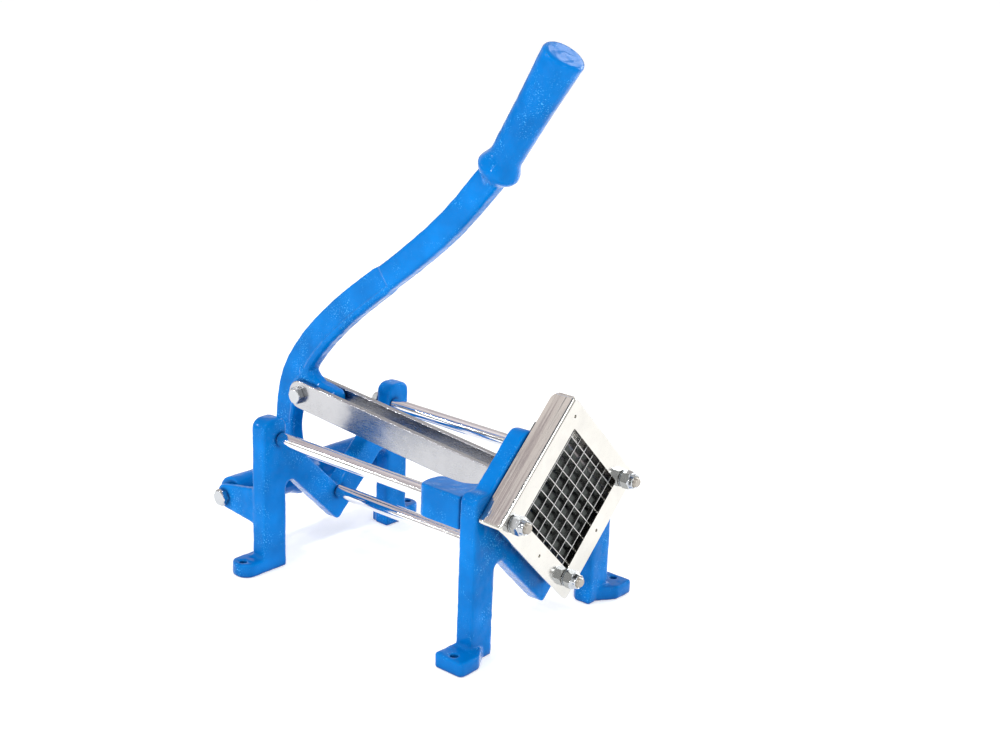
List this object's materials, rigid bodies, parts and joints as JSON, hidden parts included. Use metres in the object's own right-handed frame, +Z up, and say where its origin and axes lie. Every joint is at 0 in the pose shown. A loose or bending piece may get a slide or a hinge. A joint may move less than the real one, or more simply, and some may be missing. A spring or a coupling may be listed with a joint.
{
  "type": "french fry cutter",
  "caption": "Counter-top lever press: a long lever drives a carriage of square fingers along guide rods through a crossed blade grid that stands on its corner",
  "frame": {"origin": "bottom centre of the bounding box, on the table under the feet", "axes": "+X from the lever's pivot to the blades, +Y to the far side of the picture, +Z up"},
  "size_m": [0.347, 0.214, 0.4588],
  "materials": {
    "blue_enamel": "glossy blue enamel over a sand casting",
    "chrome": "mirror polished",
    "stainless": "polished stainless sheet",
    "zinc": "bright zinc plated steel",
    "grey_head": "dark grey, slightly rough"
  },
  "bodies": {
    "frame": {"rear_frame": "blue_enamel", "front_frame": "blue_enamel", "guide_rod_near": "chrome", "guide_rod_far": "chrome", "guide_rod_bottom": "chrome", "front_nut_near": "zinc", "front_nut_far": "zinc", "front_nut_bottom": "zinc", "rear_nut_near": "zinc", "rear_nut_far": "zinc", "rear_nut_bottom": "zinc", "pivot_bolt": "zinc", "pivot_nut": "zinc", "blade_frame": "stainless", "blade_holder": "stainless", "blade_a_1": "stainless", "blade_a_2": "stainless", "blade_a_3": "stainless", "blade_a_4": "stainless", "blade_a_5": "stainless", "blade_a_6": "stainless", "blade_a_7": "stainless", "blade_b_1": "stainless", "blade_b_2": "stainless", "blade_b_3": "stainless", "blade_b_4": "stainless", "blade_b_5": "stainless", "blade_b_6": "stainless", "blade_b_7": "stainless"},
    "lever": {"lever": "blue_enamel", "link_bolt": "zinc", "link_nut": "zinc"},
    "links": {"link_near": "chrome", "link_far": "chrome", "link_pin_near": "zinc", "link_pin_far": "zinc"},
    "pusher": {"pusher_carriage": "blue_enamel", "pusher_head": "grey_head", "pusher_screw_near": "zinc", "pusher_screw_far": "zinc"}
  },
  "joints": [
    {"name": "lever_pivot", "type": "hinge", "parent": "frame", "child": "lever", "pos_m": [-0.14923, 0, 0.0555], "axis": [0, 1, 0], "range_deg": [-75, 0]},
    {"name": "link_pivot", "type": "hinge", "parent": "lever", "child": "links", "pos_m": [-0.13423, 0, 0.1348], "axis": [0, 1, 0], "range_deg": [0, 64.1]},
    {"name": "pusher_slide", "type": "slide", "parent": "frame", "child": "pusher", "axis": [1, 0, 0], "range_m": [-0.088, 0]}
  ],
  "couplings": [
    {"joint": "link_pivot", "follows": "lever_pivot", "ratio": -0.8539},
    {"joint": "pusher_slide", "follows": "lever_pivot", "m_per_rad": 0.06721}
  ]
}
